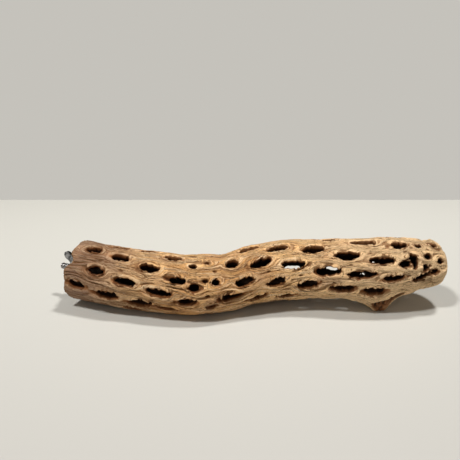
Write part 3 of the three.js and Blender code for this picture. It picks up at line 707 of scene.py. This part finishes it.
def metal_material(name, colour, rough, seed, dark_reflection=0.72):
    t = Tree(name)
    place = t.place()
    moved = t.vector("ADD", place, (seed * 0.13, seed * 0.07, 0))
    # Noise patches darken the colour as painted dark reflection; the same patches vary the roughness.
    reflection_and_rough_patches = t.noise(moved, 420.0, 3.0, 0.6)
    scratch = t.noise(t.vector("MULTIPLY", moved, (1.0, 1.0, 9.0)), 500.0, 2.0, 0.5)
    tint = t.mix(t.ramp(reflection_and_rough_patches, 0.40, 0.62), colour, tuple(c * dark_reflection for c in colour))
    t.put(t.shader.inputs["Base Color"], tint)
    t.put(t.shader.inputs["Roughness"], t.ramp(reflection_and_rough_patches, 0.3, 0.75, rough, rough + 0.16))
    t.shader.inputs["Metallic"].default_value = 1.0
    t.put(t.shader.inputs["Normal"], t.bump(scratch, 0.00006, 0.5))
    return t.material


def give(obj, material):
    if obj.material_slots:
        for s in obj.material_slots:
            s.material = material
    else:
        obj.data.materials.append(material)


def build_bolt():
    """The bolt with its thread, along the outward direction."""
    spokes = 28
    low, high = -BOLT_IN_PLUG + MARGIN, BOLT_REACH - MARGIN
    levels = np.arange(low, high + 1e-6, THREAD_PITCH / 8)
    side = np.cross([0, 0, 1], outward)
    side /= np.linalg.norm(side)
    up = np.cross(outward, side)
    turn = np.arange(spokes) / spokes * 2 * math.pi
    crest_radius = BOLT_RADIUS - 0.01
    rings = []
    for level in levels:
        phase = (level / THREAD_PITCH - turn / (2 * math.pi)) % 1.0
        crest = np.clip(1.25 - 2.5 * np.abs(phase - 0.5), 0, 1)
        r = crest_radius - THREAD_DEPTH * (1 - crest)
        r = np.minimum(r, crest_radius - np.maximum(0, level - (BOLT_REACH - 0.8)) * 0.9)
        r = np.minimum(r, 1.25 + np.maximum(0, level - low) * 0.5)
        spoke = np.cos(turn)[:, None] * side + np.sin(turn)[:, None] * up
        rings.append(plug_face + level * outward + r[:, None] * spoke)
    points = np.vstack(rings + [plug_face + low * outward, plug_face + high * outward])
    foot, tip = len(points) - 2, len(points) - 1
    last_ring = foot - spokes
    faces = []
    for start in range(0, last_ring, spokes):
        for j in range(spokes):
            k = (j + 1) % spokes
            a, b, c, d = start + j, start + k, start + spokes + k, start + spokes + j
            faces += [(a, b, c), (a, c, d)]
    for j in range(spokes):
        k = (j + 1) % spokes
        faces += [(foot, k, j), (tip, last_ring + j, last_ring + k)]
    return mesh_object("bolt_thread", (points + ORIGIN_SHIFT) * MM, np.array(faces))


wood = build_skeleton()
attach(wood, "perch")
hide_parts("cactus_skeleton")
give(wood, wood_material())
give(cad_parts["cactus_skeleton"], wood.data.materials[0])

bolt = build_bolt()
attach(bolt, "perch")
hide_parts("hanger_bolt")
steel = metal_material("plated steel of the bolt", (0.46, 0.46, 0.46), 0.20, 1)
give(bolt, steel)
give(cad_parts["hanger_bolt"], steel)
give(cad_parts["end_plug"], plug_material())
give(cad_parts["inner_washer"], metal_material("plated steel, inner washer", (0.50, 0.50, 0.50), 0.26, 2))
give(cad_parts["outer_washer"], metal_material("plated steel, outer washer", (0.50, 0.50, 0.50), 0.24, 3))
# The wing nut carries the darkest patches of painted reflection.
give(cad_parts["wing_nut"], metal_material("plated steel, wing nut", (0.40, 0.40, 0.41), 0.12, 4, 0.22))


def build_table():
    """Stage: a pale table whose far edge stands before the room's plain wall."""
    far_edge = 0.26
    corners = np.array([(-2, -2, 0), (2, -2, 0), (2, far_edge, 0), (-2, far_edge, 0)], float)
    obj = mesh_object("table", corners, np.array([[0, 1, 2, 3]]))
    t = Tree("painted table top")
    along = t.nodes.new("ShaderNodeSeparateXYZ")
    t.put(along.inputs[0], t.place())
    # Painted light: the table top is darker at the front and lighter towards the far edge.
    painted_far_light = t.ramp(along.outputs[1], -0.30, 0.24)
    t.put(t.shader.inputs["Base Color"], t.mix(painted_far_light, (0.455, 0.449, 0.430), (0.695, 0.693, 0.652)))
    t.shader.inputs["Roughness"].default_value = 0.45
    give(obj, t.material)


build_table()


def area_light(name, place, size, power, colour):
    data = bpy.data.lights.new(name, "AREA")
    data.shape = "RECTANGLE"
    data.size, data.size_y = size
    data.energy = power
    data.color = colour
    obj = bpy.data.objects.new(name, data)
    obj.location = place
    obj.rotation_euler = (-Vector(place)).to_track_quat("-Z", "Y").to_euler()
    bpy.context.scene.collection.objects.link(obj)


area_light("right lamp", (0.30, 0.05, 1.2), (0.13, 0.13), 9.9, (1.0, 0.985, 0.955))
area_light("left lamp", (-0.42, -0.42, 1.15), (0.13, 0.13), 10.9, (1.0, 0.985, 0.955))
area_light("front fill", (-0.2, -1.1, 0.75), (1.0, 0.7), 2.0, (1.0, 0.92, 0.82))

# The room: a pale wall level with the table, dimmer above it so that metal has something dark to mirror,
# and a lit ceiling.
world = bpy.data.worlds.new("room")
world.use_nodes = True
room_nodes, room_links = world.node_tree.nodes, world.node_tree.links
direction = room_nodes.new("ShaderNodeTexCoord")
parts_of = room_nodes.new("ShaderNodeSeparateXYZ")
room_links.new(direction.outputs["Generated"], parts_of.inputs[0])
bands = room_nodes.new("ShaderNodeValToRGB")
room_links.new(parts_of.outputs[2], bands.inputs[0])
glow_at_heights = [
    (0.03, (0.93, 0.90, 0.83)), (0.11, (0.40, 0.37, 0.32)), (0.28, (0.05, 0.045, 0.04)), (0.46, (0.07, 0.06, 0.05)),
    (0.74, (0.27, 0.23, 0.185)),
]
elements = bands.color_ramp.elements
while len(elements) < len(glow_at_heights):
    elements.new(0.5)
for element, (position, glow) in zip(elements, glow_at_heights):
    element.position = position
    element.color = (*glow, 1)
room_links.new(bands.outputs[0], room_nodes["Background"].inputs[0])
room_nodes["Background"].inputs[1].default_value = 0.60
bpy.context.scene.world = world

# The photo's camera.
FOCAL_PIXELS, PICTURE_PIXELS = 560, 460
LOOK_DOWN = 20.8
camera_data = bpy.data.cameras.new("camera")
camera_data.sensor_width = 36.0
camera_data.lens = camera_data.sensor_width * FOCAL_PIXELS / PICTURE_PIXELS
camera = bpy.data.objects.new("camera", camera_data)
camera.location = (np.array([-17.4, -371.5, 202.6]) + ORIGIN_SHIFT) * MM
camera.rotation_euler = (math.radians(90 - LOOK_DOWN), 0, 0)
bpy.context.scene.collection.objects.link(camera)
bpy.context.scene.camera = camera
bpy.context.scene.view_settings.view_transform = "Standard"
